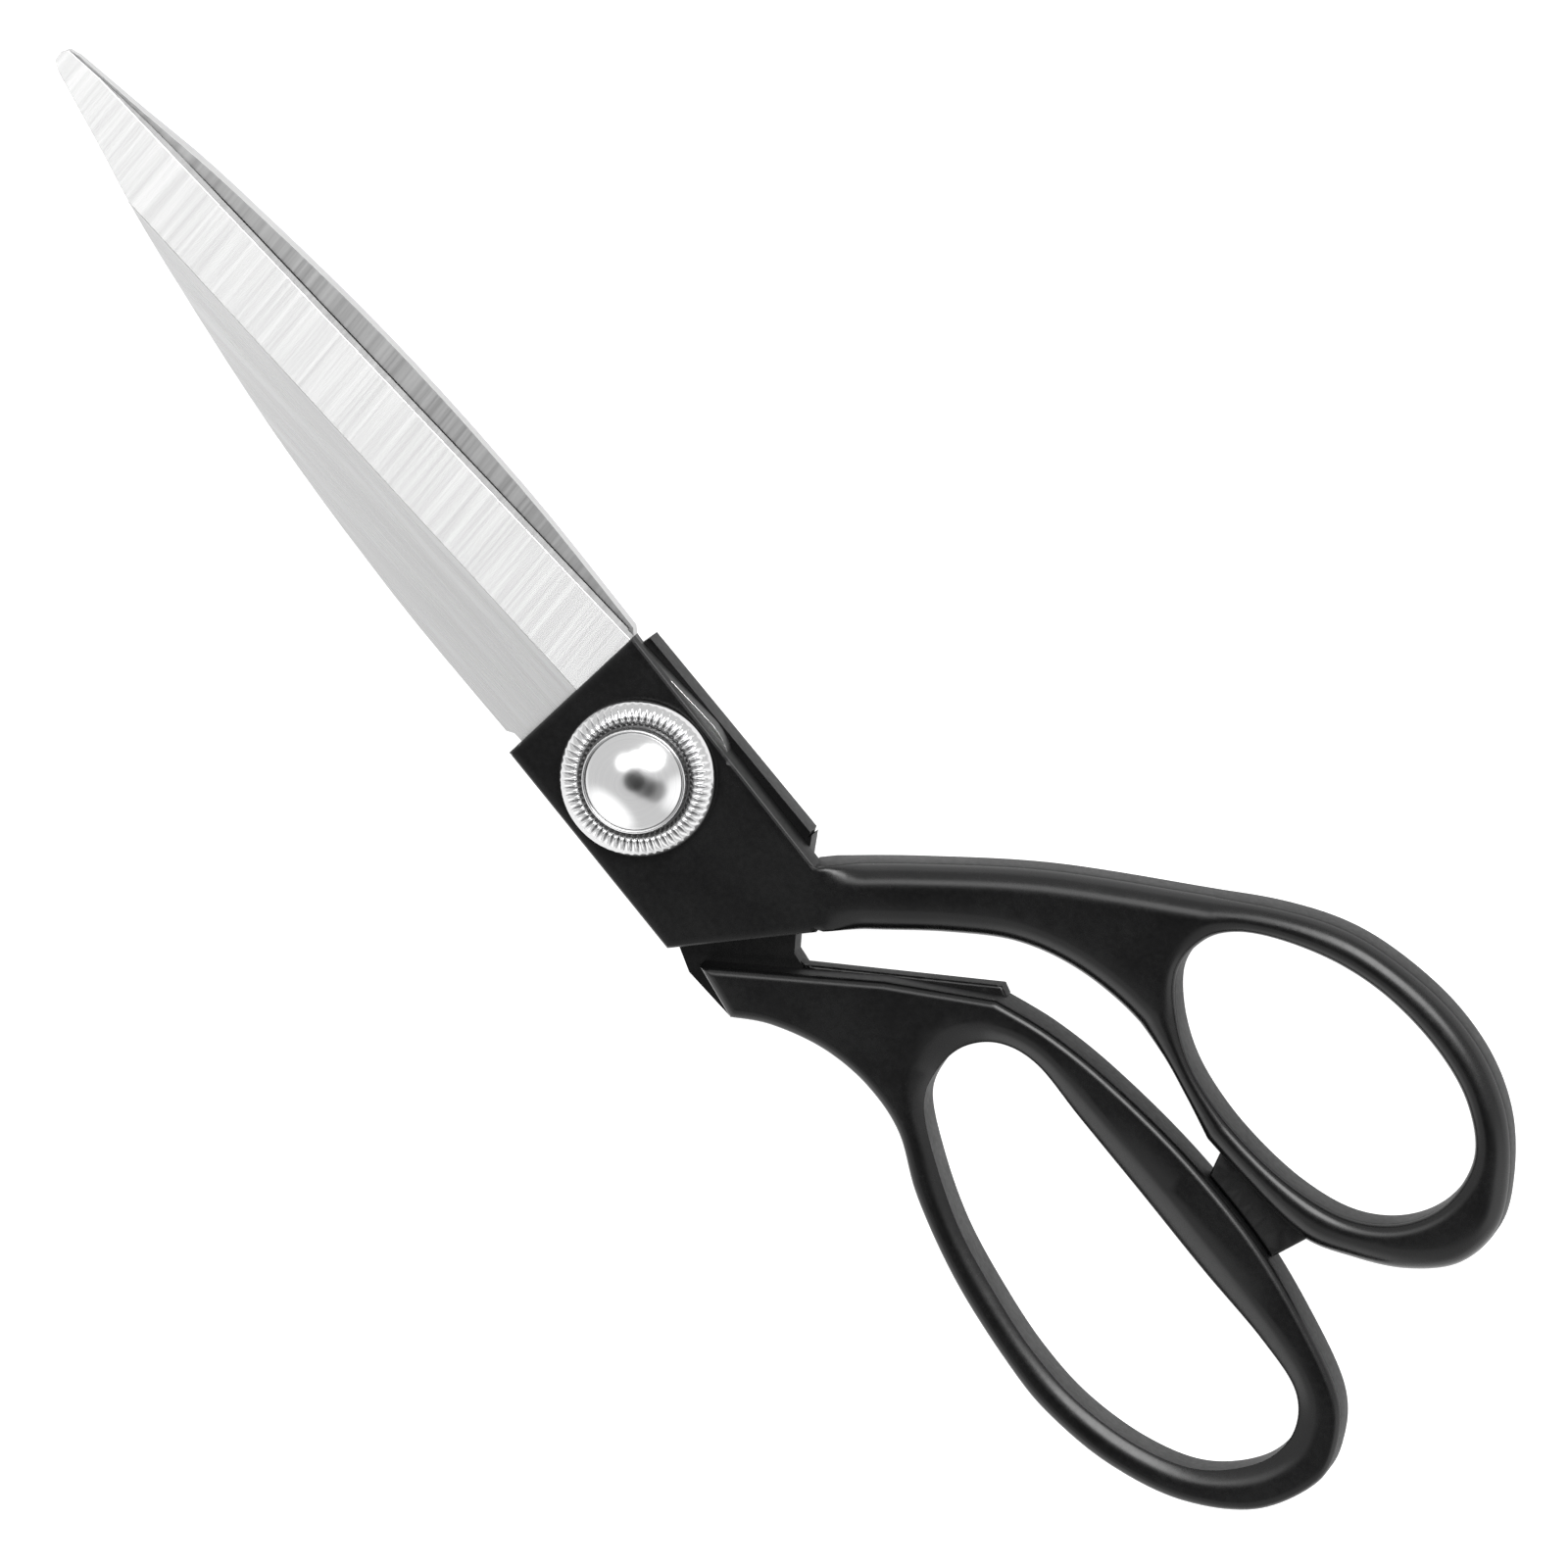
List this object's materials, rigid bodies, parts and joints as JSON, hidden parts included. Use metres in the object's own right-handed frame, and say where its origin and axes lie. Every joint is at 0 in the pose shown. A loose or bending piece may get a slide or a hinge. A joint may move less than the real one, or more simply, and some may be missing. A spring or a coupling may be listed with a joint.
{
  "type": "fabric shears",
  "caption": "Right-handed bent-handle fabric shears: steel blades set in black cast handles, a small thumb ring, a long finger loop and a serrated tension nut.",
  "frame": {"origin": "on the pivot axis, at the flat face of the bolt head, blades closed", "axes": "+X towards the blade tips, +Z along the pivot axis from the lower finger half to the upper thumb half, -Y towards the thumb ring"},
  "size_m": [0.2524, 0.0777, 0.0187],
  "materials": {
    "blade_steel": "ground stainless steel with fine brush lines",
    "handle_black": "satin black paint on a metal casting",
    "pivot_steel": "turned steel",
    "bush_bronze": "plain bronze",
    "nut_polished": "polished steel"
  },
  "bodies": {
    "finger_half": {"finger_blade": "blade_steel", "finger_handle": "handle_black", "pivot_bolt": "pivot_steel", "ride_washer": "bush_bronze", "thrust_washer": "pivot_steel", "spring_washer": "pivot_steel"},
    "thumb_half": {"thumb_blade": "blade_steel", "thumb_handle": "handle_black", "pivot_bush": "bush_bronze"},
    "nut": {"tension_nut": "nut_polished", "dome_cap": "nut_polished"}
  },
  "joints": [
    {"name": "blade_pivot", "type": "hinge", "parent": "finger_half", "child": "thumb_half", "pos_m": [0, 0, 0.007], "axis": [0, 0, 1], "range_deg": [0, 70]},
    {"name": "tension_adjust", "type": "hinge", "parent": "finger_half", "child": "nut", "pos_m": [0, 0, 0.014], "axis": [0, 0, 1], "range_deg": [-90, 90]}
  ]
}
